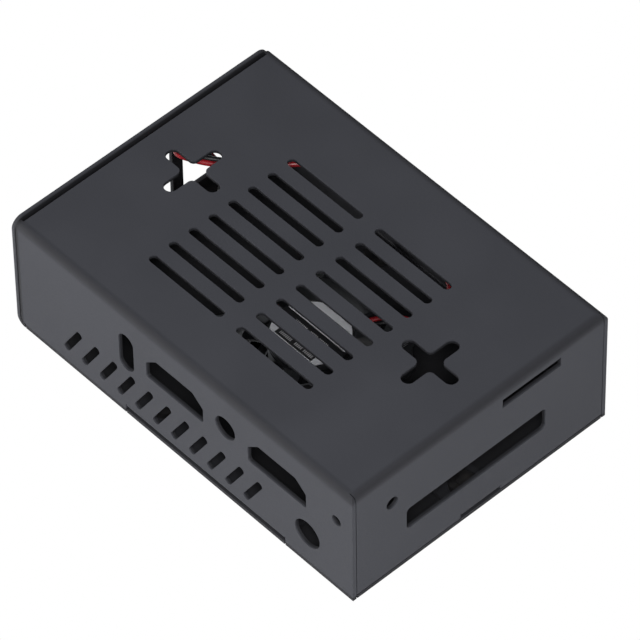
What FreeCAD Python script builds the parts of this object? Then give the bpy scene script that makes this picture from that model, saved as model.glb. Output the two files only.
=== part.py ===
import FreeCAD, Part
import math
import os
import Sketcher

# Single board computer case: a folded sheet steel shell, a folded cover with the port end, and the
# small cooling fan that is screwed to the cover, with its leads and plug.
# Millimetres. +X runs along the case away from the port end, +Z up, the cover underneath.
# The origin is the middle of the cover's underside.

V = FreeCAD.Vector
doc = FreeCAD.newDocument("computer_case")
dims = doc.addObject("Spreadsheet::Sheet", "dims")

SIZES = [
    # case as a whole
    ("case_length", 96.2, "outside of the port end to outside of the far end"),
    ("case_width", 66.8, "outside of the long walls"),
    ("case_height", 30.0, "underside of the cover to the top face"),
    ("sheet", 0.9, "steel sheet with its coating"),
    ("bend", 1.5, "outer radius of the shell's bends"),
    ("seam", 0.2, "open seam between two folded walls"),
    ("fit_gap", 0.25, "gap between the shell and the cover"),
    ("edge_recess", 0.8, "how far the top's edge stops short of the long walls' edges"),
    # air slots in the top
    ("slot_length", 20.7, "air slot, end to end"),
    ("slot_width", 2.0, "air slot"),
    ("slot_pitch", 5.16, "from row to row"),
    ("slot_rows", 8, "rows in a group"),
    ("slot_middle_y", -2.0, "middle of the rows"),
    ("slot_group_x", 12.4, "middle of a group from the middle of the case"),
    # four-way hanging holes
    ("cross_x", 33.45, "hanging hole from the middle of the case"),
    ("cross_y", 0.6, "middle of the hanging holes"),
    ("cross_reach", 14.4, "hanging hole, end to end each way"),
    ("cross_arm", 3.0, "width of an arm"),
    ("cross_round", 1.1, "rounding where the arms meet"),
    # slanted vents in the front wall
    ("vent_length", 9.2, "vent, end to end"),
    ("vent_width", 1.7, "vent"),
    ("vent_slant", 60, "degrees from level"),
    ("vent_pitch", 5.155, "from vent to vent"),
    ("vent_count", 11, "vents in a row"),
    ("vent_first_x", -31.35, "middle of the first vent"),
    ("vent_z", 8.2, "middle of the vents"),
    # port holes in the front wall
    ("small_port_x", -15.4, "upright round-ended port hole"),
    ("small_port_z", 18.4, "its middle"),
    ("small_port_length", 10.1, "its length"),
    ("small_port_width", 4.2, "its width"),
    ("video_port_first_x", -1.6, "first bevelled port hole"),
    ("video_port_step", 28.8, "to the second one"),
    ("video_port_z", 19.7, "their middle"),
    ("video_port_width", 16.2, "their width"),
    ("video_port_height", 6.5, "their height"),
    ("video_bevel_width", 2.9, "bevel along the width"),
    ("video_bevel_height", 2.5, "bevel along the height"),
    ("video_round", 0.6, "rounding of the square corners"),
    ("sound_hole", 5.6, "diameter"),
    ("sound_hole_x", 12.8, "its middle"),
    ("sound_hole_z", 20.4, "its middle"),
    ("aerial_hole", 6.9, "diameter"),
    ("aerial_hole_x", 35.5, "its middle"),
    ("aerial_hole_z", 9.0, "its middle"),
    ("reset_hole", 2.5, "diameter"),
    ("reset_hole_x", 43.7, "its middle"),
    ("reset_hole_z", 20.3, "its middle"),
    # openings in the far end wall
    ("card_slot_y", 13.3, "middle of the card slot"),
    ("card_slot_z", 26.1, "its middle"),
    ("card_slot_length", 15.4, "its length"),
    ("card_slot_height", 2.4, "its height"),
    ("pin_slot_y", -1.15, "middle of the pin row slot"),
    ("pin_slot_z", 12.65, "its middle"),
    ("pin_slot_length", 36.5, "its length"),
    ("pin_slot_height", 5.9, "its height"),
    ("pin_slot_round", 1.0, "its corners"),
    ("lamp_hole", 3.0, "diameter"),
    ("lamp_hole_y", -23.1, "its middle"),
    ("lamp_hole_z", 20.8, "its middle"),
    # flanges at the foot of the shell, which the cover is screwed to
    ("flange_x", 6.45, "middle of the long flanges"),
    ("flange_length", 45.5, "long flange"),
    ("flange_reach", 8.0, "from the outside of the wall inwards"),
    ("flange_bend", 1.2, "outer radius of a flange's bend"),
    ("lug_width", 10.6, "flange of the far end wall"),
    ("flange_screw_step", 34.0, "between the two screws of a long flange"),
    ("flange_screw_inset", 5.0, "screw from the outside of the wall"),
    # cover
    ("cover_bend", 2.2, "outer radius of the cover's bend"),
    ("cover_round", 2.5, "top corners of the port end"),
    ("port_width", 16.4, "port opening in the port end"),
    ("port_height", 18.2, "port opening"),
    ("port_z", 14.3, "middle of the port openings"),
    ("port_pitch", 19.1, "from opening to opening"),
    ("port_count", 3, "port openings"),
    ("port_middle_y", -1.0, "middle opening"),
    ("port_round", 0.8, "corners of the openings"),
    # screws, nuts and the posts that carry the board
    ("screw_radius", 1.25, "M2.5 thread"),
    ("screw_head_radius", 2.35, "countersunk head"),
    ("screw_clearance", 0.25, "hole around a screw's shank"),
    ("thread_play", 0.05, "between a screw and what it is turned into"),
    ("cover_screw_length", 4.0, "over the head"),
    ("nut_body_radius", 2.8, "press nut above the flange"),
    ("nut_body_height", 1.4, "press nut above the flange"),
    ("nut_shank_radius", 2.1, "press nut in the flange"),
    ("post_inset_x", 6.1, "board post from the end of the case"),
    ("post_inset_y", 6.4, "board post from the long wall"),
    ("post_length", 4.3, "board post"),
    ("post_radius", 2.75, "board post"),
    ("post_bore_depth", 3.8, "thread in a board post"),
    # fan
    ("fan_x", 0.5, "axis of the fan"),
    ("fan_y", 0.0, "axis of the fan"),
    ("fan_size", 30.0, "square frame"),
    ("fan_height", 10.0, "frame"),
    ("fan_corner", 2.5, "rounding of the frame's corners"),
    ("fan_bore", 14.2, "radius of the air way"),
    ("fan_ring_inset", 0.15, "ring round the air way inside the frame's sides"),
    ("fan_flange", 2.2, "thickness of the frame's two flanges"),
    ("fan_hole_inset", 3.0, "the frame's screw holes from its edge"),
    ("fan_hole_radius", 1.6, "frame's screw holes"),
    ("fan_boss_radius", 2.8, "column round a screw hole"),
    ("fan_screw_length", 14.0, "over the head"),
    ("fan_nut_across", 5.0, "across the flats"),
    ("fan_nut_height", 2.0, "thickness"),
    ("strut_count", 3, "struts that carry the motor"),
    ("strut_width", 1.7, "strut"),
    ("strut_drop", 2.1, "underside of the struts below the fan's rim"),
    ("lead_strut_width", 3.9, "strut that carries the leads"),
    ("lead_strut_angle", 62, "degrees from +X"),
    ("motor_radius", 8.6, "motor plate"),
    ("plate_recess", 0.2, "motor plate below the fan's rim"),
    ("motor_plate", 1.2, "thickness of the motor plate"),
    ("label_radius", 8.1, "label on the motor plate"),
    ("label_thickness", 0.1, "label"),
    ("tube_radius", 2.4, "bearing tube, outside"),
    ("tube_wall", 0.65, "bearing tube"),
    ("tube_end", 2.9, "lower end of the bearing tube above the frame's foot"),
    ("hub_radius", 8.4, "impeller hub"),
    ("hub_wall", 0.7, "impeller hub"),
    ("hub_foot", 0.6, "hub above the frame's foot"),
    ("hub_top", 7.6, "hub's rim above the frame's foot"),
    ("hub_floor", 1.0, "thickness of the hub's closed end"),
    ("hub_round", 0.8, "rounding of the hub's closed end"),
    ("blade_count", 7, "blades"),
    ("blade_gap", 0.7, "between the blades' tips and the frame"),
    ("blade_low", 0.8, "lower edge above the frame's foot"),
    ("blade_high", 7.4, "upper edge above the frame's foot"),
    ("blade_root_sweep", 3.1, "half width of a blade at the hub"),
    ("blade_tip_sweep", 4.7, "half width of a blade at the tip"),
    ("blade_root_thick", 0.9, "at the hub"),
    ("blade_tip_thick", 0.6, "at the tip"),
    ("blade_camber", 0.9, "bow of a blade's section"),
    ("yoke_wall", 0.3, "steel cup in the hub"),
    ("magnet_wall", 1.0, "magnet ring"),
    ("magnet_low", 2.1, "above the frame's foot"),
    ("magnet_high", 7.0, "above the frame's foot"),
    ("shaft_radius", 1.0, "fan shaft"),
    ("shaft_play", 0.03, "radial clearance in the bearing"),
    ("shaft_low", 1.2, "above the frame's foot"),
    ("shaft_high", 8.1, "above the frame's foot"),
    ("groove_depth", 0.25, "groove for the shaft's retaining washer"),
    ("washer_low", 7.4, "above the frame's foot"),
    ("washer_thick", 0.3, "retaining washer"),
    ("washer_radius", 1.5, "retaining washer"),
    ("bearing_low", 3.1, "above the frame's foot"),
    ("bearing_high", 7.0, "above the frame's foot"),
    ("core_low", 3.6, "stator core above the frame's foot"),
    ("core_thick", 2.2, "stator core"),
    ("core_yoke", 3.6, "outer radius of the core's middle ring"),
    ("core_shoe_in", 4.9, "inner radius of the pole shoes"),
    ("core_radius", 5.9, "outer radius of the pole shoes"),
    ("pole_count", 4, "poles"),
    ("pole_width", 1.4, "pole"),
    ("pole_shoe_half", 33, "half angle of a pole shoe, degrees"),
    ("liner_thick", 0.4, "insulating plates on the core"),
    ("coil_wall", 0.6, "winding round a pole"),
    ("coil_length", 0.9, "winding along a pole"),
    ("coil_air", 0.05, "between the winding and the core"),
    ("board_thick", 0.6, "fan's circuit board"),
    ("board_radius", 7.6, "fan's circuit board"),
    # leads and plug
    ("lead_radius", 0.575, "insulated lead"),
    ("lead_dip", 0.5, "depth of that notch below the leads' channel"),
    ("lead_exit", 2.4, "notch in the fan's frame where the leads turn, to one side of their line"),
    ("lead_step", 1.25, "between the two leads"),
    ("lead_play", 0.1, "between a lead and what it lies in"),
    ("lead_start", 6.3, "leads' ends from the fan's axis"),
    ("plug_width", 4.6, "plug across the leads"),
    ("plug_height", 3.2, "plug"),
    ("plug_length", 6.0, "plug"),
    ("plug_bore_depth", 2.5, "how far the leads go into the plug"),
    ("contact_radius", 0.4, "crimped contact in the plug"),
    ("grille_web", 1.8, "bars between the air slots under the fan"),
    ("grille_ring", 2.4, "width of a curved air slot under the fan"),
    ("grille_first", 4.2, "middle radius of the inner curved slots"),
    ("grille_step", 4.2, "from ring to ring of the curved slots"),
]
for row, (alias, number, note) in enumerate(SIZES, start=1):
    dims.set(f"A{row}", note)
    dims.set(f"B{row}", str(number))
    dims.setAlias(f"B{row}", alias)
doc.recompute()


def val(expression):
    """The number that an expression on the sheet stands for now."""
    return float(dims.evalExpression(str(expression)))


def new_body(label):
    body = doc.addObject("PartDesign::Body", label)
    body.Label = label
    return body


def origin_feature(body, role):
    return next(item for item in body.Origin.OriginFeatures if item.Role == role)


def new_sketch(body, name, role="XY_Plane", at=("0", "0", "0"), turn="0"):
    """A sketch on one of the body's own planes, moved in that plane and along its normal."""
    sketch = body.newObject("Sketcher::SketchObject", name)
    sketch.AttachmentSupport = [(origin_feature(body, role), "")]
    sketch.MapMode = "FlatFace"
    for axis, expression in zip("xyz", at):
        sketch.setExpression(f"AttachmentOffset.Base.{axis}", expression)
    sketch.setExpression("AttachmentOffset.Rotation.Angle", turn)
    return sketch


def bind(sketch, kind, first, second, expression):
    """A horizontal or vertical distance between two points, tied to the sheet."""
    index = sketch.addConstraint(Sketcher.Constraint(kind, *first, *second, val(expression)))
    name = f"size_{index}"
    sketch.renameConstraint(index, name)
    sketch.setExpression(f"Constraints.{name}", expression)


ORIGIN = (-1, 1)


def outline(sketch, corners):
    """A closed outline of straight lines; each corner is a pair of expressions."""
    points = [V(val(x), val(y), 0) for x, y in corners]
    count = len(points)
    first = sketch.GeometryCount
    for i in range(count):
        sketch.addGeometry(Part.LineSegment(points[i], points[(i + 1) % count]))
    for i in range(count):
        here, following = first + i, first + (i + 1) % count
        sketch.addConstraint(Sketcher.Constraint("Coincident", here, 2, following, 1))
    for i, (x, y) in enumerate(corners):
        bind(sketch, "DistanceX", ORIGIN, (first + i, 1), x)
        bind(sketch, "DistanceY", ORIGIN, (first + i, 1), y)


def rectangle(sketch, left, right, low, high):
    outline(sketch, [(left, low), (right, low), (right, high), (left, high)])


def circle(sketch, radius, x="0", y="0"):
    index = sketch.addGeometry(Part.Circle(V(val(x), val(y), 0), V(0, 0, 1), val(radius)))
    bind(sketch, "DistanceX", ORIGIN, (index, 3), x)
    bind(sketch, "DistanceY", ORIGIN, (index, 3), y)
    ring = sketch.addConstraint(Sketcher.Constraint("Radius", index, val(radius)))
    sketch.renameConstraint(ring, f"radius_{ring}")
    sketch.setExpression(f"Constraints.radius_{ring}", radius)


def round_slot(sketch, length, width):
    """A round-ended slot along the sketch's own X axis, about its origin."""
    half, end = (val(length) - val(width)) / 2, val(width) / 2
    quarter = math.pi / 2
    top = sketch.addGeometry(Part.LineSegment(V(-half, end, 0), V(half, end, 0)))
    right = sketch.addGeometry(
        Part.ArcOfCircle(Part.Circle(V(half, 0, 0), V(0, 0, 1), end), -quarter, quarter))
    low = sketch.addGeometry(Part.LineSegment(V(half, -end, 0), V(-half, -end, 0)))
    left = sketch.addGeometry(
        Part.ArcOfCircle(Part.Circle(V(-half, 0, 0), V(0, 0, 1), end), quarter, 3 * quarter))
    joints = [(top, 2, right, 2), (right, 1, low, 1), (low, 2, left, 2), (left, 1, top, 1)]
    for joint in joints:
        sketch.addConstraint(Sketcher.Constraint("Tangent", *joint))
    sketch.addConstraint(Sketcher.Constraint("Horizontal", top))
    sketch.addConstraint(Sketcher.Constraint("Symmetric", right, 3, left, 3, -1, 1))
    bind(sketch, "DistanceX", (left, 3), (right, 3), f"{length} - {width}")
    bind(sketch, "DistanceY", (low, 1), (top, 2), width)


def pad(body, sketch, name, length, midplane=False, back=False):
    feature = body.newObject("PartDesign::Pad", name)
    feature.Profile = sketch
    feature.Midplane = midplane
    feature.Reversed = back
    feature.setExpression("Length", length)
    return feature


def pocket(body, sketch, name, depth=None, back=False):
    """A pocket of a given depth, or through everything where no depth is given."""
    feature = body.newObject("PartDesign::Pocket", name)
    feature.Profile = sketch
    feature.Reversed = back
    if depth is None:
        feature.Type = "ThroughAll"
    else:
        feature.setExpression("Length", depth)
    return feature


def revolution(body, sketch, name):
    feature = body.newObject("PartDesign::Revolution", name)
    feature.Profile = sketch
    feature.ReferenceAxis = (sketch, ["V_Axis"])
    feature.Angle = 360
    return feature


def row_pattern(body, feature, name, role, step, count):
    pattern = body.newObject("PartDesign::LinearPattern", name)
    pattern.Originals = [feature]
    pattern.Direction = (origin_feature(body, role), [""])
    pattern.Mode = "Spacing"
    pattern.setExpression("Offset", step)
    pattern.setExpression("Occurrences", count)
    body.Tip = pattern
    return pattern


def ring_pattern(body, feature, name, count, axis=None):
    pattern = body.newObject("PartDesign::PolarPattern", name)
    pattern.Originals = [feature]
    pattern.Axis = axis or (origin_feature(body, "Z_Axis"), [""])
    pattern.Angle = 360
    pattern.setExpression("Occurrences", count)
    body.Tip = pattern
    return pattern


def edge_names(shape, wanted):
    """Names of the shape's edges whose middle point and direction pass the test."""
    names = []
    for number, edge in enumerate(shape.Edges, start=1):
        middle = edge.valueAt((edge.FirstParameter + edge.LastParameter) / 2)
        direction = edge.Vertexes[-1].Point - edge.Vertexes[0].Point
        if wanted(middle, direction):
            names.append(f"Edge{number}")
    return names


def round_edges(body, base, name, radius, wanted):
    doc.recompute()
    feature = body.newObject("PartDesign::Fillet", name)
    feature.Base = (base, edge_names(base.Shape, wanted))
    feature.setExpression("Radius", radius)
    return feature


def near(a, b, tolerance=0.01):
    return abs(a - b) < tolerance


def place(item, x="0", y="0", z="0"):
    for axis, expression in zip("xyz", (x, y, z)):
        item.setExpression(f"Placement.Base.{axis}", expression)


def group(label, master, places, turns=None):
    """One node of like solids: links to the first one, each with its place from the sheet."""
    links = []
    for number, spot in enumerate(places, start=1):
        link = doc.addObject("App::Link", f"{label}_{number}")
        link.LinkedObject = master
        link.LinkTransform = True
        place(link, *spot)
        if turns:
            link.setExpression("Placement.Rotation.Angle", turns[number - 1])
        links.append(link)
    compound = doc.addObject("Part::Compound", label)
    compound.Label = label
    compound.Links = links
    return compound


HALF_LENGTH = "dims.case_length / 2"
HALF_WIDTH = "dims.case_width / 2"
INSIDE_Y = f"({HALF_WIDTH} - dims.sheet)"
SHELL_LEFT = f"(-{HALF_LENGTH} + dims.sheet + dims.fit_gap)"
FLANGE_FOOT = "(dims.sheet + dims.fit_gap)"
FLANGE_TOP = "(2 * dims.sheet + dims.fit_gap)"
NOTCH_TOP = "(dims.sheet + dims.fit_gap + dims.flange_bend)"


def bent_strip(sketch, wall_x, side):
    """The hook that a wall and its flange make in section: down the wall, round the bend, inwards.

    side is 1 where the flange runs towards larger x in the sketch and -1 where it runs back."""
    outer, inner = "dims.flange_bend", "(dims.flange_bend - dims.sheet)"
    wall, sheet = val(wall_x), val("dims.sheet")
    foot, top = val(FLANGE_FOOT), val(NOTCH_TOP)
    reach = val("dims.flange_reach")
    bend = val(outer)
    middle = V(wall + side * bend, foot + bend, 0)

    def arc(radius):
        start, end = (math.pi, 1.5 * math.pi) if side > 0 else (1.5 * math.pi, 2 * math.pi)
        return Part.ArcOfCircle(Part.Circle(middle, V(0, 0, 1), radius), start, end)

    points = {
        "outside": V(wall, top, 0), "inside": V(wall + side * sheet, top, 0),
        "tip_low": V(wall + side * reach, foot, 0), "tip_top": V(wall + side * reach, foot + sheet, 0),
        "bend_low": V(middle.x, foot, 0), "bend_top": V(middle.x, foot + sheet, 0)}
    cap = sketch.addGeometry(Part.LineSegment(points["inside"], points["outside"]))
    big = sketch.addGeometry(arc(bend))
    low = sketch.addGeometry(Part.LineSegment(points["bend_low"], points["tip_low"]))
    tip = sketch.addGeometry(Part.LineSegment(points["tip_low"], points["tip_top"]))
    high = sketch.addGeometry(Part.LineSegment(points["tip_top"], points["bend_top"]))
    small = sketch.addGeometry(arc(val(inner)))
    wall_end, floor_end = (1, 2) if side > 0 else (2, 1)
    pairs = [(cap, 2, big, wall_end), (big, floor_end, low, 1), (low, 2, tip, 1), (tip, 2, high, 1),
             (high, 2, small, floor_end), (small, wall_end, cap, 1)]
    for pair in pairs:
        sketch.addConstraint(Sketcher.Constraint("Coincident", *pair))
    centre_x = f"({wall_x}) + {side} * {outer}"
    for ring in (big, small):
        bind(sketch, "DistanceX", ORIGIN, (ring, 3), centre_x)
        bind(sketch, "DistanceY", ORIGIN, (ring, 3), NOTCH_TOP)
    bind(sketch, "DistanceX", ORIGIN, (cap, 2), wall_x)
    bind(sketch, "DistanceY", ORIGIN, (cap, 2), NOTCH_TOP)
    bind(sketch, "DistanceX", ORIGIN, (cap, 1), f"({wall_x}) + {side} * dims.sheet")
    bind(sketch, "DistanceY", ORIGIN, (cap, 1), NOTCH_TOP)
    bind(sketch, "DistanceX", ORIGIN, (low, 1), centre_x)
    bind(sketch, "DistanceX", ORIGIN, (high, 2), centre_x)
    bind(sketch, "DistanceX", ORIGIN, (tip, 1), f"({wall_x}) + {side} * dims.flange_reach")
    bind(sketch, "DistanceY", ORIGIN, (tip, 1), FLANGE_FOOT)
    bind(sketch, "DistanceX", ORIGIN, (tip, 2), f"({wall_x}) + {side} * dims.flange_reach")
    bind(sketch, "DistanceY", ORIGIN, (tip, 2), FLANGE_TOP)


COVER_SCREWS = [(f"(dims.flange_x + {a} * dims.flange_screw_step / 2)",
                 f"({b} * ({HALF_WIDTH} - dims.flange_screw_inset))")
                for a in (-1, 1) for b in (-1, 1)]
COVER_SCREWS.append((f"({HALF_LENGTH} - dims.flange_screw_inset)", "0"))
FAN_HOLE = "(dims.fan_size / 2 - dims.fan_hole_inset)"
FAN_SCREWS = [(f"(dims.fan_x + {a} * {FAN_HOLE})", f"(dims.fan_y + {b} * {FAN_HOLE})")
              for a in (-1, 1) for b in (-1, 1)]


def make_top_shell():
    """Top face, two long walls and the far end wall, folded from one sheet."""
    body = new_body("top_shell")
    blank = new_sketch(body, "shell_plan")
    rectangle(blank, SHELL_LEFT, HALF_LENGTH, f"-{HALF_WIDTH}", HALF_WIDTH)
    block = pad(body, blank, "shell_block", "dims.case_height")
    height, half_length, half_width = (val(x) for x in ("dims.case_height", HALF_LENGTH, HALF_WIDTH))
    bends = round_edges(
        body, block, "shell_bends", "dims.bend",
        lambda at, run: near(at.z, height) and (near(abs(at.y), half_width) or near(at.x, half_length)))
    doc.recompute()
    hollow = body.newObject("PartDesign::Thickness", "shell_wall")
    left = val(SHELL_LEFT)
    open_faces = [f"Face{i}" for i, face in enumerate(bends.Shape.Faces, start=1)
                  if near(face.CenterOfMass.x, left) or near(face.CenterOfMass.z, 0)]
    hollow.Base = (bends, open_faces)
    hollow.setExpression("Value", "dims.sheet")
    hollow.Reversed = True
    doc.recompute()

    recess = new_sketch(body, "edge_recess_plan", at=("0", "0", "dims.case_height"))
    rectangle(recess, f"{SHELL_LEFT} - 1", f"{SHELL_LEFT} + dims.edge_recess",
              f"-({HALF_WIDTH} - dims.bend)", f"{HALF_WIDTH} - dims.bend")
    pocket(body, recess, "edge_recess", "2 * dims.sheet")

    for side in (-1, 1):
        seam = new_sketch(body, f"seam_plan_{side + 1}")
        near_y = f"{side} * {INSIDE_Y}"
        far_y = f"{side} * ({INSIDE_Y} - dims.seam)"
        low, high = (near_y, far_y) if side < 0 else (far_y, near_y)
        rectangle(seam, f"{HALF_LENGTH} - dims.bend - dims.seam", f"{HALF_LENGTH} + 1", low, high)
        pocket(body, seam, f"corner_seam_{side + 1}", back=True)
    foot = new_sketch(body, "end_foot_plan")
    rectangle(foot, f"{HALF_LENGTH} - 2 * dims.sheet", f"{HALF_LENGTH} + 1",
              f"-({INSIDE_Y} - dims.seam)", f"{INSIDE_Y} - dims.seam")
    pocket(body, foot, "end_foot", FLANGE_FOOT, back=True)

    corner = new_sketch(body, "bend_clearance_plan", "XZ_Plane")
    wrap = f"(-{HALF_LENGTH} + dims.cover_bend + dims.fit_gap)"
    outline(corner, [(f"{SHELL_LEFT} - 1", "-1"), (wrap, "-1"), (wrap, FLANGE_FOOT),
                     (f"{SHELL_LEFT} + 0.3 * dims.cover_bend", FLANGE_FOOT),
                     (SHELL_LEFT, f"{FLANGE_FOOT} + 0.3 * dims.cover_bend"),
                     (f"{SHELL_LEFT} - 1", f"{FLANGE_FOOT} + 0.3 * dims.cover_bend")])
    cut = body.newObject("PartDesign::Pocket", "bend_clearance")
    cut.Profile = corner
    cut.Type = "ThroughAll"
    cut.Midplane = True

    notch = new_sketch(body, "flange_notch_plan", "XZ_Plane")
    rectangle(notch, "dims.flange_x - dims.flange_length / 2", "dims.flange_x + dims.flange_length / 2",
              "-1", NOTCH_TOP)
    cut = body.newObject("PartDesign::Pocket", "flange_notch")
    cut.Profile = notch
    cut.Type = "ThroughAll"
    cut.Midplane = True
    hook = new_sketch(body, "flange_section", "YZ_Plane", at=("0", "0", "dims.flange_x"))
    bent_strip(hook, f"-{HALF_WIDTH}", 1)
    flange = pad(body, hook, "front_flange", "dims.flange_length - 2 * dims.fit_gap", midplane=True)
    pair = body.newObject("PartDesign::Mirrored", "both_flanges")
    pair.Originals = [flange]
    pair.MirrorPlane = (origin_feature(body, "XZ_Plane"), [""])
    body.Tip = pair

    notch = new_sketch(body, "lug_notch_plan", "YZ_Plane", at=("0", "0", f"{HALF_LENGTH} + 1"))
    rectangle(notch, "-dims.lug_width / 2", "dims.lug_width / 2", "-1", NOTCH_TOP)
    pocket(body, notch, "lug_notch", "1 + dims.sheet")
    hook = new_sketch(body, "lug_section", "XZ_Plane")
    bent_strip(hook, HALF_LENGTH, -1)
    pad(body, hook, "end_lug", "dims.lug_width - 2 * dims.fit_gap", midplane=True)
    holes = new_sketch(body, "flange_hole_plan")
    for x, y in COVER_SCREWS:
        circle(holes, "dims.nut_shank_radius + dims.thread_play", x, y)
    pocket(body, holes, "flange_holes", "3 * dims.sheet", back=True)

    for name, side in (("left", -1), ("right", 1)):
        slot = new_sketch(body, f"{name}_air_slot_plan", at=(
            f"{side} * dims.slot_group_x",
            "dims.slot_middle_y - (dims.slot_rows - 1) * dims.slot_pitch / 2", "dims.case_height"))
        round_slot(slot, "dims.slot_length", "dims.slot_width")
        cut = pocket(body, slot, f"{name}_air_slot", "2 * dims.sheet")
        row_pattern(body, cut, f"{name}_air_slots", "Y_Axis", "dims.slot_pitch", "dims.slot_rows")

    for turn in (0, 90):
        arm = new_sketch(body, f"hanging_arm_plan_{turn}", at=("-dims.cross_x", "dims.cross_y",
                                                             "dims.case_height"), turn=str(turn))
        round_slot(arm, "dims.cross_reach", "dims.cross_arm")
        cut = pocket(body, arm, f"hanging_arm_{turn}", "2 * dims.sheet")
        pattern = row_pattern(body, cut, f"hanging_arms_{turn}", "X_Axis", "2 * dims.cross_x", "2")
    cross_x, cross_y, arm = val("dims.cross_x"), val("dims.cross_y"), val("dims.cross_arm") / 2
    round_edges(
        body, pattern, "hanging_rounds", "dims.cross_round",
        lambda at, run: near(abs(abs(at.x) - cross_x), arm) and near(abs(at.y - cross_y), arm)
        and near(at.z, height - val("dims.sheet") / 2))

    front = HALF_WIDTH
    vent = new_sketch(body, "vent_plan", "XZ_Plane", at=("dims.vent_first_x", "dims.vent_z", front),
                      turn="dims.vent_slant")
    round_slot(vent, "dims.vent_length", "dims.vent_width")
    cut = pocket(body, vent, "vent", "2 * dims.sheet")
    row_pattern(body, cut, "vents", "X_Axis", "dims.vent_pitch", "dims.vent_count")

    port = new_sketch(body, "small_port_plan", "XZ_Plane",
                      at=("dims.small_port_x", "dims.small_port_z", front), turn="90")
    round_slot(port, "dims.small_port_length", "dims.small_port_width")
    pocket(body, port, "small_port", "2 * dims.sheet")
    port = new_sketch(body, "video_port_plan", "XZ_Plane",
                      at=("dims.video_port_first_x", "dims.video_port_z", front))
    half_x, half_z = "dims.video_port_width / 2", "dims.video_port_height / 2"
    slope_x = f"{half_x} - dims.video_bevel_width"
    slope_z = f"{half_z} - dims.video_bevel_height"
    outline(port, [(f"-{half_x}", f"-{half_z}"), (half_x, f"-{half_z}"), (half_x, slope_z),
                   (slope_x, half_z), (f"-({slope_x})", half_z), (f"-{half_x}", slope_z)])
    cut = pocket(body, port, "video_port", "2 * dims.sheet")
    pattern = row_pattern(body, cut, "video_ports", "X_Axis", "dims.video_port_step", "2")
    low_z = val("dims.video_port_z - dims.video_port_height / 2")
    high_z = val("dims.video_port_z + dims.video_port_height / 2")
    first_x, step = val("dims.video_port_first_x"), val("dims.video_port_step")
    span = val("dims.video_port_width") / 2 + 0.1
    wall_y = -half_width + val("dims.sheet") / 2
    round_edges(
        body, pattern, "video_rounds", "dims.video_round",
        lambda at, run: near(at.y, wall_y) and low_z - 0.1 < at.z < high_z + 0.1
        and min(abs(at.x - first_x), abs(at.x - first_x - step)) < span and near(abs(run.y), 0.9, 0.6))
    for name in ("sound_hole", "aerial_hole", "reset_hole"):
        hole = new_sketch(body, f"{name}_plan", "XZ_Plane", at=(f"dims.{name}_x", f"dims.{name}_z", front))
        circle(hole, f"dims.{name} / 2")
        pocket(body, hole, name, "2 * dims.sheet")

    end = HALF_LENGTH
    card = new_sketch(body, "card_slot_plan", "YZ_Plane", at=("dims.card_slot_y", "dims.card_slot_z", end))
    rectangle(card, "-dims.card_slot_length / 2", "dims.card_slot_length / 2",
              "-dims.card_slot_height / 2", "dims.card_slot_height / 2")
    pocket(body, card, "card_slot", "2 * dims.sheet")
    pins = new_sketch(body, "pin_slot_plan", "YZ_Plane", at=("dims.pin_slot_y", "dims.pin_slot_z", end))
    rectangle(pins, "-dims.pin_slot_length / 2", "dims.pin_slot_length / 2",
              "-dims.pin_slot_height / 2", "dims.pin_slot_height / 2")
    cut = pocket(body, pins, "pin_slot", "2 * dims.sheet")
    slot_y, slot_z = val("dims.pin_slot_y"), val("dims.pin_slot_z")
    half_y, half_z = val("dims.pin_slot_length") / 2, val("dims.pin_slot_height") / 2
    round_edges(
        body, cut, "pin_slot_rounds", "dims.pin_slot_round",
        lambda at, run: near(abs(at.y - slot_y), half_y) and near(abs(at.z - slot_z), half_z)
        and at.x > half_length - val("dims.sheet"))
    lamp = new_sketch(body, "lamp_hole_plan", "YZ_Plane", at=("dims.lamp_hole_y", "dims.lamp_hole_z", end))
    circle(lamp, "dims.lamp_hole / 2")
    pocket(body, lamp, "lamp_hole", "2 * dims.sheet")
    return body



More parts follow.
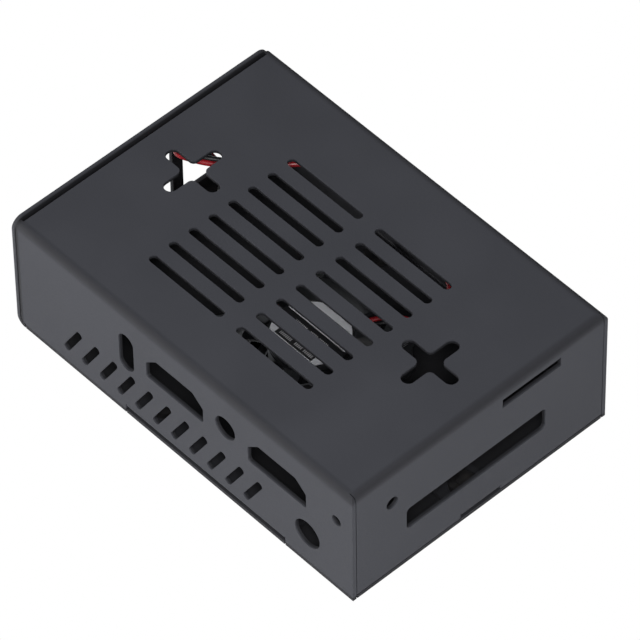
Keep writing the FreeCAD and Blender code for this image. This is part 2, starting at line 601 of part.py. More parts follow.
def make_bottom_cover():
    """Cover plate and port end, folded from one sheet."""
    body = new_body("bottom_cover")
    left, right = f"-{HALF_LENGTH}", HALF_LENGTH
    section = new_sketch(body, "cover_section", "XZ_Plane")
    outline(section, [(left, "0"), (right, "0"), (right, "dims.sheet"),
                      (f"{left} + dims.sheet", "dims.sheet"), (f"{left} + dims.sheet", "dims.case_height"),
                      (left, "dims.case_height")])
    base = pad(body, section, "cover_sheet", "dims.case_width", midplane=True)
    edge, sheet, height = val(left), val("dims.sheet"), val("dims.case_height")
    inner = round_edges(body, base, "inner_bend", "dims.cover_bend - dims.sheet",
                        lambda at, run: near(at.x, edge + sheet) and near(at.z, sheet))
    outer = round_edges(body, inner, "outer_bend", "dims.cover_bend",
                        lambda at, run: near(at.x, edge) and near(at.z, 0))
    half_width = val(HALF_WIDTH)
    round_edges(body, outer, "end_corners", "dims.cover_round",
                lambda at, run: near(abs(at.y), half_width) and near(at.z, height) and at.x < edge + sheet)

    plate_y = f"({INSIDE_Y} - dims.fit_gap)"
    flat = f"({left} + dims.cover_bend)"
    tab_left = "(dims.flange_x - dims.flange_length / 2 + dims.fit_gap)"
    tab_right = "(dims.flange_x + dims.flange_length / 2 - dims.fit_gap)"
    for name, start, end in (("left", flat, tab_left), ("right", tab_right, f"{right} + 1")):
        side = new_sketch(body, f"{name}_edge_plan")
        rectangle(side, start, end, plate_y, f"{HALF_WIDTH} + 1")
        cut = pocket(body, side, f"{name}_edge", "2 * dims.cover_bend", back=True)
        pair = body.newObject("PartDesign::Mirrored", f"{name}_edges")
        pair.Originals = [cut]
        pair.MirrorPlane = (origin_feature(body, "XZ_Plane"), [""])
        body.Tip = pair

    port = new_sketch(body, "port_plan", "YZ_Plane",
                      at=("dims.port_middle_y - (dims.port_count - 1) / 2 * dims.port_pitch", "dims.port_z",
                          f"{left} + dims.sheet"))
    rectangle(port, "-dims.port_width / 2", "dims.port_width / 2",
              "-dims.port_height / 2", "dims.port_height / 2")
    cut = pocket(body, port, "port_opening", "2 * dims.sheet")
    pattern = row_pattern(body, cut, "port_openings", "Y_Axis", "dims.port_pitch", "dims.port_count")
    port_low, port_high = (val(f"dims.port_z + {s} * dims.port_height / 2") for s in (-1, 1))
    rounded = round_edges(
        body, pattern, "port_rounds", "dims.port_round",
        lambda at, run: at.x < edge + sheet and (near(at.z, port_low) or near(at.z, port_high))
        and near(abs(run.x), sheet))

    rings = new_sketch(body, "grille_plan", at=("dims.fan_x", "dims.fan_y", "0"))
    web = val("dims.grille_web") / 2
    for number in range(3):
        middle = f"dims.grille_first + {number} * dims.grille_step"
        radii = [f"{middle} - dims.grille_ring / 2", f"{middle} + dims.grille_ring / 2"]
        small, large = (val(radius) for radius in radii)
        ends = {r: math.sqrt(r * r - web * web) for r in (small, large)}
        arcs = []
        for radius in (small, large):
            start = math.asin(web / radius)
            ring = Part.Circle(V(0, 0, 0), V(0, 0, 1), radius)
            arcs.append(rings.addGeometry(Part.ArcOfCircle(ring, start, math.pi / 2 - start)))
        low = rings.addGeometry(Part.LineSegment(V(ends[small], web, 0), V(ends[large], web, 0)))
        side = rings.addGeometry(Part.LineSegment(V(web, ends[large], 0), V(web, ends[small], 0)))
        pairs = [(low, 1, arcs[0], 1), (low, 2, arcs[1], 1), (side, 1, arcs[1], 2), (side, 2, arcs[0], 2)]
        for pair in pairs:
            rings.addConstraint(Sketcher.Constraint("Coincident", *pair))
        for arc, radius in zip(arcs, radii):
            rings.addConstraint(Sketcher.Constraint("Coincident", arc, 3, *ORIGIN))
            index = rings.addConstraint(Sketcher.Constraint("Radius", arc, val(radius)))
            rings.renameConstraint(index, f"radius_{index}")
            rings.setExpression(f"Constraints.radius_{index}", radius)
        rings.addConstraint(Sketcher.Constraint("Horizontal", low))
        rings.addConstraint(Sketcher.Constraint("Vertical", side))
        bind(rings, "DistanceY", ORIGIN, (low, 1), "dims.grille_web / 2")
        bind(rings, "DistanceX", ORIGIN, (side, 1), "dims.grille_web / 2")
    cut = pocket(body, rings, "grille", "2 * dims.sheet", back=True)
    ring_pattern(body, cut, "fan_grille", "4", axis=(rings, ["N_Axis"]))

    def sunk_hole(name, x, y):
        """A countersunk screw hole, turned about the screw's own axis."""
        sketch = new_sketch(body, f"{name}_plan", "XZ_Plane", at=(x, "0", f"-({y})"))
        head = "(dims.screw_head_radius + dims.thread_play)"
        neck = "(dims.screw_radius + dims.screw_clearance)"
        outline(sketch, [("0", "0"), (head, "0"), (neck, "dims.sheet"), ("0", "dims.sheet")])
        feature = body.newObject("PartDesign::Groove", name)
        feature.Profile = sketch
        feature.ReferenceAxis = (sketch, ["V_Axis"])
        feature.Angle = 360
        return feature

    for name, side in (("front", -1), ("back", 1)):
        hole = sunk_hole(f"{name}_fan_screw_hole", f"dims.fan_x - {FAN_HOLE}",
                         f"dims.fan_y + {side} * {FAN_HOLE}")
        row_pattern(body, hole, f"{name}_fan_screw_holes", "X_Axis", f"2 * {FAN_HOLE}", "2")
        hole = sunk_hole(f"{name}_cover_screw_hole", "dims.flange_x - dims.flange_screw_step / 2",
                         f"{side} * ({HALF_WIDTH} - dims.flange_screw_inset)")
        row_pattern(body, hole, f"{name}_cover_screw_holes", "X_Axis", "dims.flange_screw_step", "2")
    sunk_hole("end_screw_hole", f"{HALF_LENGTH} - dims.flange_screw_inset", "0")
    return body


def turned(label, profile, sketch_name="section"):
    """A piece turned about its own upright axis from a section of radius and height pairs."""
    body = new_body(label)
    sketch = new_sketch(body, f"{label}_{sketch_name}", "XZ_Plane")
    outline(sketch, profile)
    revolution(body, sketch, f"{label}_turned")
    return body


def make_screw(label, length):
    """A countersunk screw, its head flush with the cover's underside."""
    neck = "(dims.screw_head_radius - dims.screw_radius)"
    return turned(label, [("0", "0"), ("dims.screw_head_radius", "0"), ("dims.screw_radius", neck),
                          ("dims.screw_radius", length), ("0", length)])


def make_fasteners():
    screw = make_screw("cover_screw_model", "dims.cover_screw_length")
    cover_screws = group("cover_screws", screw, [(x, y, "0") for x, y in COVER_SCREWS])
    bore = "(dims.screw_radius + dims.thread_play)"
    nut_top = f"({FLANGE_TOP} + dims.nut_body_height)"
    nut = turned("press_nut_model", [
        (bore, FLANGE_FOOT), ("dims.nut_shank_radius", FLANGE_FOOT), ("dims.nut_shank_radius", FLANGE_TOP),
        ("dims.nut_body_radius", FLANGE_TOP), ("dims.nut_body_radius", nut_top), (bore, nut_top)])
    press_nuts = group("press_nuts", nut, [(x, y, "0") for x, y in COVER_SCREWS])
    bored = "dims.post_bore_depth"
    post = turned("board_post_model", [
        (bore, "0"), ("dims.post_radius", "0"), ("dims.post_radius", "dims.post_length"),
        ("0", "dims.post_length"), ("0", bored), (bore, bored)])
    foot = "dims.case_height - dims.sheet - dims.post_length"
    corners = [(f"{a} * ({HALF_LENGTH} - dims.post_inset_x)", f"{b} * ({HALF_WIDTH} - dims.post_inset_y)", foot)
               for a in (-1, 1) for b in (-1, 1)]
    posts = group("board_standoffs", post, corners)
    screw = make_screw("fan_screw_model", "dims.fan_screw_length")
    fan_screws = group("fan_screws", screw, [(x, y, "0") for x, y in FAN_SCREWS])
    nut = new_body("fan_nut_model")
    plan = new_sketch(nut, "fan_nut_plan")
    across = val("dims.fan_nut_across") / 2
    corner = across / math.cos(math.pi / 6)
    hexagon = []
    for i in range(6):
        angle = 60 * i
        hexagon.append((f"dims.fan_nut_across / 2 / cos(30) * cos({angle})",
                        f"dims.fan_nut_across / 2 / cos(30) * sin({angle})"))
    outline(plan, hexagon)
    circle(plan, bore)
    pad(nut, plan, "fan_nut_block", "dims.fan_nut_height")
    rim = "dims.sheet + dims.fan_height"
    fan_nuts = group("fan_nuts", nut, [(x, y, rim) for x, y in FAN_SCREWS])
    return [cover_screws, press_nuts, posts, fan_screws, fan_nuts]


def at_fan(item, height="0"):
    place(item, "dims.fan_x", "dims.fan_y", f"dims.sheet + {height}")
    return item


def make_fan_frame():
    """Square frame with two flanges, the air way, and the struts that carry the motor plate."""
    body = new_body("fan_frame")
    half = "dims.fan_size / 2"
    for name, foot in (("low", "0"), ("high", "dims.fan_height - dims.fan_flange")):
        plan = new_sketch(body, f"{name}_flange_plan", at=("0", "0", foot))
        rectangle(plan, f"-{half}", half, f"-{half}", half)
        pad(body, plan, f"{name}_flange", "dims.fan_flange")
        if name == "low":
            ring = new_sketch(body, "ring_plan")
            circle(ring, f"{half} - dims.fan_ring_inset")
            pad(body, ring, "ring", "dims.fan_height")
            boss = new_sketch(body, "column_plan")
            for a in (-1, 1):
                for b in (-1, 1):
                    circle(boss, "dims.fan_boss_radius", f"{a} * {FAN_HOLE}", f"{b} * {FAN_HOLE}")
            pad(body, boss, "columns", "dims.fan_height")
    side = val(half)
    round_edges(body, body.Tip, "frame_corners", "dims.fan_corner",
                lambda at, run: near(abs(at.x), side) and near(abs(at.y), side))
    bore = new_sketch(body, "air_way_plan")
    circle(bore, "dims.fan_bore")
    pocket(body, bore, "air_way", "dims.fan_height", back=True)
    holes = new_sketch(body, "frame_hole_plan")
    for a in (-1, 1):
        for b in (-1, 1):
            circle(holes, "dims.fan_hole_radius", f"{a} * {FAN_HOLE}", f"{b} * {FAN_HOLE}")
    pocket(body, holes, "frame_holes", "dims.fan_height", back=True)

    plate = new_sketch(body, "motor_plate_plan", at=("0", "0", PLATE_LOW))
    circle(plate, "dims.motor_radius")
    pad(body, plate, "motor_plate_disc", "dims.motor_plate")
    strut = new_sketch(body, "strut_plan", at=("0", "0", STRUT_LOW), turn="dims.lead_strut_angle")
    rectangle(strut, "dims.label_radius + dims.fit_gap", "dims.fan_bore + 0.3",
              "-dims.strut_width / 2", "dims.strut_width / 2")
    bar = pad(body, strut, "strut", "dims.strut_drop")
    ring_pattern(body, bar, "struts", "dims.strut_count")
    wide = new_sketch(body, "lead_strut_plan", at=("0", "0", STRUT_LOW), turn="dims.lead_strut_angle")
    rectangle(wide, "dims.label_radius + dims.fit_gap", "dims.fan_bore + 0.3",
              "-dims.lead_strut_width / 2", "dims.lead_strut_width / 2")
    pad(body, wide, "lead_strut", "dims.strut_drop")
    channel = new_sketch(body, "lead_channel_plan", at=("0", "0", PLATE_LOW), turn="dims.lead_strut_angle")
    rectangle(channel, "dims.lead_start - dims.fit_gap", "dims.fan_size",
              "-(dims.lead_step / 2 + dims.lead_radius + dims.lead_play)",
              "dims.lead_step / 2 + dims.lead_radius + dims.lead_play")
    pocket(body, channel, "lead_channel", "2 * dims.motor_plate", back=True)
    notch = new_sketch(body, "lead_notch_plan", at=("0", "0", f"{PLATE_LOW} - dims.lead_dip"),
                       turn="dims.lead_strut_angle")
    rectangle(notch, "dims.fan_bore - 0.6", "dims.fan_size", "-dims.lead_exit",
              "dims.lead_step / 2 + dims.lead_radius + dims.lead_play")
    pocket(body, notch, "lead_notch", "2 * dims.motor_plate + dims.lead_dip", back=True)
    tube = new_sketch(body, "bearing_tube_plan", at=("0", "0", "dims.tube_end"))
    circle(tube, "dims.tube_radius")
    circle(tube, "dims.tube_radius - dims.tube_wall")
    pad(body, tube, "bearing_tube", f"{PLATE_LOW} - dims.tube_end")
    return at_fan(body)


def make_impeller():
    """Hub with a closed end and a shaft boss, and blades lofted from the hub to the tip."""
    body = new_body("impeller_model")
    plan = new_sketch(body, "hub_plan", at=("0", "0", "dims.hub_foot"))
    circle(plan, "dims.hub_radius")
    hub = pad(body, plan, "hub", "dims.hub_top - dims.hub_foot")
    foot = val("dims.hub_foot")
    round_edges(body, hub, "hub_rounding", "dims.hub_round", lambda at, run: near(at.z, foot))
    sections = []
    stations = (("root", "(dims.hub_radius - dims.hub_wall)", "dims.blade_root_sweep", "dims.blade_root_thick"),
                ("tip", "(dims.fan_bore + 0.4)", "dims.blade_tip_sweep", "dims.blade_tip_thick"))
    for name, radius, sweep, thick in stations:
        sketch = new_sketch(body, f"blade_{name}_section", "YZ_Plane",
                            at=("0", "(dims.blade_low + dims.blade_high) / 2", radius))
        rise = "(dims.blade_high - dims.blade_low) / 2"
        half_x, half_z, bow, edge = val(sweep), val(rise), val("dims.blade_camber"), val(thick)
        length = math.hypot(half_x, half_z)
        along, across = V(half_x, half_z, 0) / length, V(-half_z, half_x, 0) / length
        nose = across * (edge / 4)
        start, end = along * -length, along * length
        upper = Part.Arc(start + nose, across * (bow + edge / 2), end + nose)
        lower = Part.Arc(end - nose, across * (bow - edge / 2), start - nose)
        first = sketch.addGeometry(upper)
        tail = sketch.addGeometry(Part.LineSegment(end + nose, end - nose))
        second = sketch.addGeometry(lower)
        head = sketch.addGeometry(Part.LineSegment(start - nose, start + nose))
        for line in (first, tail, second, head):
            sketch.addConstraint(Sketcher.Constraint("Block", line))
        sections.append(sketch)
    loft = body.newObject("PartDesign::AdditiveLoft", "blade")
    loft.Profile = sections[0]
    loft.Sections = [sections[1]]
    ring_pattern(body, loft, "blades", "dims.blade_count")
    inside = new_sketch(body, "hub_inside_plan", at=("0", "0", "dims.fan_height"))
    circle(inside, "dims.hub_radius - dims.hub_wall")
    pocket(body, inside, "hub_inside", "dims.fan_height - dims.hub_foot - dims.hub_floor")
    boss = new_sketch(body, "shaft_boss_plan", at=("0", "0", "dims.hub_foot + dims.hub_floor"))
    circle(boss, "2 * dims.shaft_radius")
    pad(body, boss, "shaft_boss", "dims.tube_end - 2 * dims.fit_gap - dims.hub_foot - dims.hub_floor")
    seat = new_sketch(body, "shaft_seat_plan", at=("0", "0", "dims.tube_end"))
    circle(seat, "dims.shaft_radius")
    pocket(body, seat, "shaft_seat", "dims.tube_end - dims.shaft_low")
    tips = doc.addObject("Part::Cylinder", "tip_circle")
    tips.setExpression("Radius", "dims.fan_bore - dims.blade_gap")
    tips.setExpression("Height", "dims.fan_height")
    trimmed = doc.addObject("Part::Common", "fan_impeller")
    trimmed.Label = "fan_impeller"
    trimmed.Base = body
    trimmed.Tool = tips
    return at_fan(trimmed)


def ring(label, outer, inner, low, high):
    """A plain ring about the fan's axis."""
    return turned(label, [(inner, low), (outer, low), (outer, high), (inner, high)])


def make_motor():
    """What turns and what stands still inside the hub."""
    hub_inside = "(dims.hub_radius - dims.hub_wall)"
    magnet_outside = f"({hub_inside} - dims.yoke_wall)"
    tube_inside = "(dims.tube_radius - dims.tube_wall)"
    groove = "(dims.shaft_radius - dims.groove_depth)"
    washer_top = "(dims.washer_low + dims.washer_thick)"
    pieces = [
        ring("fan_yoke", hub_inside, magnet_outside, "dims.hub_foot + dims.hub_floor",
             "dims.magnet_high + dims.yoke_wall"),
        ring("fan_magnet", magnet_outside, f"{magnet_outside} - dims.magnet_wall", "dims.magnet_low",
             "dims.magnet_high"),
        ring("fan_bearing", tube_inside, "dims.shaft_radius + dims.shaft_play", "dims.bearing_low",
             "dims.bearing_high"),
        ring("fan_retainer", "dims.washer_radius", groove, "dims.washer_low", washer_top),
        ring("fan_circuit_board", "dims.board_radius", "dims.tube_radius",
             f"{PLATE_LOW} - dims.board_thick", PLATE_LOW),
        turned("fan_shaft", [
            ("0", "dims.shaft_low"), ("dims.shaft_radius", "dims.shaft_low"),
            ("dims.shaft_radius", "dims.washer_low"), (groove, "dims.washer_low"), (groove, washer_top),
            ("dims.shaft_radius", washer_top), ("dims.shaft_radius", "dims.shaft_high"),
            ("0", "dims.shaft_high")]),
    ]
    label = new_body("fan_label")
    plan = new_sketch(label, "label_plan", at=("0", "0", PLATE_TOP))
    circle(plan, "dims.label_radius")
    pad(label, plan, "label_disc", "dims.label_thickness")
    pieces.append(label)

    core = new_body("fan_stator_core")
    pole_plan = new_sketch(core, "core_ring_plan", at=("0", "0", "dims.core_low"))
    circle(pole_plan, "dims.core_yoke")
    pad(core, pole_plan, "core_ring", "dims.core_thick")
    pole = new_sketch(core, "pole_plan", at=("0", "0", "dims.core_low"))
    rectangle(pole, "dims.tube_radius", "(dims.core_shoe_in + dims.core_radius) / 2",
              "-dims.pole_width / 2", "dims.pole_width / 2")
    bar = pad(core, pole, "pole", "dims.core_thick")
    ring_pattern(core, bar, "poles", "dims.pole_count")
    shoe = new_sketch(core, "shoe_section", "XZ_Plane", at=("0", "dims.core_low", "0"))
    rectangle(shoe, "dims.core_shoe_in", "dims.core_radius", "0", "dims.core_thick")
    arc = core.newObject("PartDesign::Revolution", "pole_shoe")
    arc.Profile = shoe
    arc.ReferenceAxis = (shoe, ["V_Axis"])
    arc.Midplane = True
    arc.setExpression("Angle", "2 * dims.pole_shoe_half")
    ring_pattern(core, arc, "pole_shoes", "dims.pole_count")
    hole = new_sketch(core, "core_hole_plan", at=("0", "0", "dims.core_low"))
    circle(hole, "dims.tube_radius")
    pocket(core, hole, "core_hole", "dims.core_thick", back=True)
    pieces.append(core)
    for piece in pieces:
        at_fan(piece)

    liner = new_body("bobbin_model")
    plan = new_sketch(liner, "bobbin_ring_plan")
    circle(plan, "dims.core_yoke")
    pad(liner, plan, "bobbin_ring", "dims.liner_thick")
    arm = new_sketch(liner, "bobbin_arm_plan")
    rectangle(arm, "dims.tube_radius", "(dims.core_shoe_in + dims.core_radius) / 2",
              "-dims.pole_width / 2", "dims.pole_width / 2")
    bar = pad(liner, arm, "bobbin_arm", "dims.liner_thick")
    ring_pattern(liner, bar, "bobbin_arms", "dims.pole_count")
    hole = new_sketch(liner, "bobbin_hole_plan")
    circle(hole, "dims.tube_radius")
    pocket(liner, hole, "bobbin_hole", "dims.liner_thick", back=True)
    halves = [("dims.fan_x", "dims.fan_y", f"dims.sheet + dims.core_low {level}")
              for level in ("- dims.liner_thick", "+ dims.core_thick")]
    pieces.append(group("fan_bobbin", liner, halves))

    coil = new_body("winding_model")
    middle = "dims.core_low + dims.core_thick / 2"
    plan = new_sketch(coil, "winding_plan", "YZ_Plane",
                      at=("0", middle, "(dims.core_yoke + dims.core_shoe_in) / 2"))
    wide = "(dims.pole_width / 2 + dims.coil_air)"
    tall = "(dims.core_thick / 2 + dims.liner_thick + dims.coil_air)"
    rectangle(plan, f"-({wide} + dims.coil_wall)", f"{wide} + dims.coil_wall",
              f"-({tall} + dims.coil_wall)", f"{tall} + dims.coil_wall")
    rectangle(plan, f"-{wide}", wide, f"-{tall}", tall)
    pad(coil, plan, "winding_block", "dims.coil_length", midplane=True)
    count = int(val("dims.pole_count"))
    windings = group("fan_windings", coil, [("dims.fan_x", "dims.fan_y", "dims.sheet")] * count,
                     [f"360 / dims.pole_count * {i}" for i in range(count)])
    pieces.append(windings)
    return pieces


def tube_along(points, radius):
    """A round lead along straight runs that are joined by tangent arcs."""
    corners = []
    for before, here, after in zip(points, points[1:], points[2:]):
        back, on = before - here, after - here
        turn = math.pi - back.getAngle(on)
        reach = 0.45 * min(back.Length, on.Length)
        bend = reach / math.tan(turn / 2)
        back.normalize()
        on.normalize()
        to_middle = (back + on).normalize() * (bend / math.cos(turn / 2))
        middle = here + to_middle
        crown = middle - to_middle.normalize() * bend
        corners.append((here + back * reach, crown, here + on * reach, bend))
    edges = []
    last = points[0]
    for start, crown, end, bend in corners:
        edges.append(Part.LineSegment(last, start).toShape())
        edges.append(Part.Arc(start, crown, end).toShape())
        last = end
    edges.append(Part.LineSegment(last, points[-1]).toShape())
    route = Part.Wire(edges)
    ring = Part.Wire(Part.Circle(points[0], points[1] - points[0], radius).toShape())
    tube = route.makePipeShell([ring], True, False)
    expected = math.pi * radius ** 2 * route.Length
    print(f"lead of {route.Length:.1f} mm, volume {tube.Volume / expected:.4f} of its section by its length,",
          "tightest bend", round(min(corner[3] for corner in corners), 2))
    return tube


def beside(points, shift):
    """The same route moved sideways in plan by a distance, to the left of its own direction."""
    moved = []
    for i, here in enumerate(points):
        lines = []
        for a, b in ((i - 1, i), (i, i + 1)):
            if 0 <= a and b < len(points):
                run = points[b] - points[a]
                flat = V(run.x, run.y, 0)
                if flat.Length > 0.01:
                    lines.append(V(-flat.y, flat.x, 0).normalize())
        side = sum(lines, V(0, 0, 0)) / len(lines)
        side = side / (side.Length ** 2)
        moved.append(here + side * shift)
    return moved


def make_leads():
    """The fan's two leads, side by side from the motor to the plug, and the plug."""
    angle = math.radians(val("dims.lead_strut_angle"))
    out = V(math.cos(angle), math.sin(angle), 0)
    axis = V(val("dims.fan_x"), val("dims.fan_y"), val("dims.sheet + dims.fan_height") - 0.8)
    floor = val("dims.sheet + dims.plug_height / 2")
    route = [axis + out * val("dims.lead_start"), axis + out * 17.3,
             V(15.2, 18.8, 8.7), V(12.4, 28.9, 11.5), V(-3.0, 29.5, 13.5), V(-19.0, 29.3, 22.9),
             V(-26.8, 20.2, 22.9), V(-34.6, 11.2, 22.9), V(-39.6, 7.6, 22.9), V(-44.4, 5.6, 22.9),
             V(-46.0, 11.5, 20.2), V(-45.6, 16.4, 12.2), V(-43.0, 18.6, floor), V(-42.4, 9.5, floor),
             V(-42.9, -1.5, floor), V(-40.5, -11.0, floor), V(-33.0, -16.0, floor)]
    leads = []
    ends = []
    for name, side in (("fan_lead_red", 1), ("fan_lead_black", -1)):
        line = beside(route, side * val("dims.lead_step") / 2)
        lead = doc.addObject("Part::Feature", name)
        lead.Label = name
        lead.Shape = tube_along(line, val("dims.lead_radius"))
        leads.append(lead)
        ends.append(line[-1])
    heading = route[-1] - route[-2]
    turn = math.degrees(math.atan2(heading.y, heading.x))
    spin = FreeCAD.Rotation(V(0, 0, 1), turn)
    mouth = "dims.plug_bore_depth"

    housing = new_body("plug_housing")
    plan = new_sketch(housing, "plug_section", "YZ_Plane")
    rectangle(plan, "-dims.plug_width / 2", "dims.plug_width / 2", "-dims.plug_height / 2",
              "dims.plug_height / 2")
    pad(housing, plan, "plug_block", "dims.plug_length")
    bores = new_sketch(housing, "lead_bore_plan", "YZ_Plane")
    for side in (-1, 1):
        circle(bores, "dims.lead_radius + dims.lead_play", f"{side} * dims.lead_step / 2")
    pocket(housing, bores, "lead_bores", mouth, back=True)
    bores = new_sketch(housing, "contact_bore_plan", "YZ_Plane")
    for side in (-1, 1):
        circle(bores, "dims.contact_radius", f"{side} * dims.lead_step / 2")
    pocket(housing, bores, "contact_bores", "dims.plug_length", back=True)
    rib = new_sketch(housing, "plug_rib_plan", "YZ_Plane", at=("0", "0", "dims.plug_length / 2"))
    rectangle(rib, "-dims.plug_width / 6", "dims.plug_width / 6", "dims.plug_height / 2 - 0.1",
              "dims.plug_height / 2 + 0.5")
    pad(housing, rib, "plug_rib", "dims.plug_length / 2")
    contact = new_body("plug_contact_model")
    plan = new_sketch(contact, "contact_section", "YZ_Plane", at=("0", "0", mouth))
    circle(plan, "dims.contact_radius")
    pad(contact, plan, "contact_pin", "dims.plug_length - dims.plug_bore_depth - 0.5")
    links = []
    for number, side in enumerate((-1, 1), start=1):
        link = doc.addObject("App::Link", f"plug_contacts_{number}")
        link.LinkedObject = contact
        link.LinkTransform = True
        link.Placement = FreeCAD.Placement(V(0, side * val("dims.lead_step") / 2, 0), FreeCAD.Rotation())
        links.append(link)
    contacts = doc.addObject("Part::Compound", "plug_contacts")
    contacts.Label = "plug_contacts"
    contacts.Links = links
    start = (ends[0] + ends[1]) / 2 - heading.normalize() * val(mouth)
    for item in (housing, contacts):
        item.Placement = FreeCAD.Placement(start, spin)
    return leads + [housing, contacts]


PLATE_TOP = "(dims.fan_height - dims.plate_recess)"
PLATE_LOW = f"({PLATE_TOP} - dims.motor_plate)"
STRUT_LOW = "(dims.fan_height - dims.strut_drop)"

parts = [make_top_shell(), make_bottom_cover(), make_fan_frame(), make_impeller()]
parts += make_fasteners()
parts += make_motor()
parts += make_leads()
doc.recompute()

troubles = []
for item in doc.Objects:
    if "Invalid" in item.State or "Error" in item.State:
        troubles.append(f"{item.Name} {item.State}")
os.makedirs("parts", exist_ok=True)
for part in parts:
    shape = part.Shape
    if shape.isNull() or not shape.isValid() or not shape.Solids:
        troubles.append(f"{part.Label} has no valid shape")
        continue
    box = shape.BoundBox
    print(f"{part.Label:20s} {len(shape.Solids)} solids {shape.Volume:9.1f} mm3  "
          f"X {box.XMin:.2f} {box.XMax:.2f}  Y {box.YMin:.2f} {box.YMax:.2f}  Z {box.ZMin:.2f} {box.ZMax:.2f}")
    shape.exportStep(f"parts/{part.Label}.step")
print(len(parts), "parts")
if troubles:
    raise RuntimeError("; ".join(troubles))
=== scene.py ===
"""Looks, lights and camera of the single board computer case.

Blender works in metres here. The case stands on the floor at Z = 0 with its slotted face up, its open
port end at -X and the wall with the port holes at -Y.
"""
import math

import bpy
from mathutils import Matrix, Vector


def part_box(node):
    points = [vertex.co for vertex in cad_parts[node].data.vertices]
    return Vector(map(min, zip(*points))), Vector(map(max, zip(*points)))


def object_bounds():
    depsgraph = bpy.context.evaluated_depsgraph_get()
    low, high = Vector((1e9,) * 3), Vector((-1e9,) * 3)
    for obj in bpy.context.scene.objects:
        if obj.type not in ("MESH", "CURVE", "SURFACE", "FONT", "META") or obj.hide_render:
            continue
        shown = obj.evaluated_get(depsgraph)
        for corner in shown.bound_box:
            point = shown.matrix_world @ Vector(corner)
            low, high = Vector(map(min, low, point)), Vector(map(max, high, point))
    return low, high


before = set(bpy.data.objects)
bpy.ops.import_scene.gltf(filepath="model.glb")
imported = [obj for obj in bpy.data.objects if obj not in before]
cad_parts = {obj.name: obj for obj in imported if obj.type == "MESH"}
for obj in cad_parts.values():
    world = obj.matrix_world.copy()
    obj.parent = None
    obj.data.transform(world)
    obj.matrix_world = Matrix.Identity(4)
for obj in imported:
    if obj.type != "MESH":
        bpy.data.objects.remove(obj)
cad_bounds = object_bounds()

MM = 0.001
CASE_LOW, CASE_HIGH = (Vector(corner) for corner in cad_bounds)

# The camera, found from the straight edges and holes of the photograph; angles in degrees
TARGET = Vector((0.6, 0.0, 15.0)) * MM
AZIMUTH = 47.80
ELEVATION = 49.43
ROLL = -0.947
DISTANCE = 1338.5 * MM
AIM_RIGHT = 1.778 * MM
AIM_UP = -0.112 * MM
LENS = 389.7
SENSOR_WIDTH = 36.0
NEAR_CLIP = 0.01

# Soft lamps: name, place, aim and size in millimetres, and watts
LAMPS = (
    ("overhead", (-280, 560, 420), (0, 0, 15), (360, 360), 0.5),
    ("front_left", (-430, -400, 110), (0, 0, 10), (340, 200), 3.2),
    ("right_side", (620, -150, 110), (0, 0, 10), (300, 160), 1.1),
    ("over_camera", (410, -371, 646), (0, 0, 10), (200, 200), 7.4),
)

# The world: what of it lights the case from above and from below, where the lower part starts
WHITE = (1.0, 1.0, 1.0, 1.0)
FILL_COLOUR = (0.92, 0.95, 1.0, 1.0)
FILL_ABOVE = 0.16
FILL_BELOW = 0.7
LOWER_PART = -0.2

# The floor: half its side, how far its opening stays inside the case's outline, and its own grey
FLOOR_REACH = 3.0
FLOOR_INSET = 0.4 * MM
FLOOR_GREY = (0.82, 0.82, 0.82, 1.0)

# The powder coat: how far from the folds its painted shade reaches, and how deep under the outside the
# painted shade of its inside ends
FOLD_DARK, FOLD_CLEAR = 0.6 * MM, 2.1 * MM
CORNER_RADIUS = 2.0 * MM
INSIDE_FROM, INSIDE_FULL = 0.15 * MM, 0.5 * MM

# The painted shade between the two sheets: the plate's rim by its height, and beside the port end by X
RIM_FOOT = (0.02 * MM, 0.08 * MM)
RIM_TOP = (0.9 * MM, 1.05 * MM)
BESIDE_START = (0.5 * MM, 0.8 * MM)
BESIDE_END = (1.5 * MM, 2.0 * MM)

# The circuit board's tracks, in radians a metre, which sets them about 0.7 mm apart
TRACK_WAVES = 9000.0

# The label, in millimetres from its middle: a band right across, a patch below it, two rows of marks
LABEL_BAND_Y = (-2.6, 1.5)
LABEL_PATCH_Y, LABEL_PATCH_X = (-4.85, -2.5), (-5.2, 5.2)
UPPER_ROW_Y, UPPER_ROW_X = (-0.35, 0.45), (-4.6, 4.6)
LOWER_ROW_Y, LOWER_ROW_X = (-4.3, -3.6), (-4.4, 4.8)
MARK_PITCH = 0.42 * MM
MARK_GAP = 0.35
MARKS_LEFT_OUT = 0.12


def linear(red, green, blue):
    """A colour given in 0 to 255 values, as Blender's linear values."""
    values = []
    for part in (red, green, blue):
        part = part / 255
        values.append(part / 12.92 if part < 0.04045 else ((part + 0.055) / 1.055) ** 2.4)
    return (*values, 1.0)


class Socket:
    """A node's output; its sums, differences and products are Math nodes."""

    def __init__(self, graph, output):
        self.graph = graph
        self.output = output

    def __add__(self, other):
        return self.graph.math("ADD", self, other)

    def __sub__(self, other):
        return self.graph.math("SUBTRACT", self, other)

    def __rsub__(self, other):
        return self.graph.math("SUBTRACT", other, self)

    def __mul__(self, other):
        return self.graph.math("MULTIPLY", self, other)

    __radd__ = __add__
    __rmul__ = __mul__


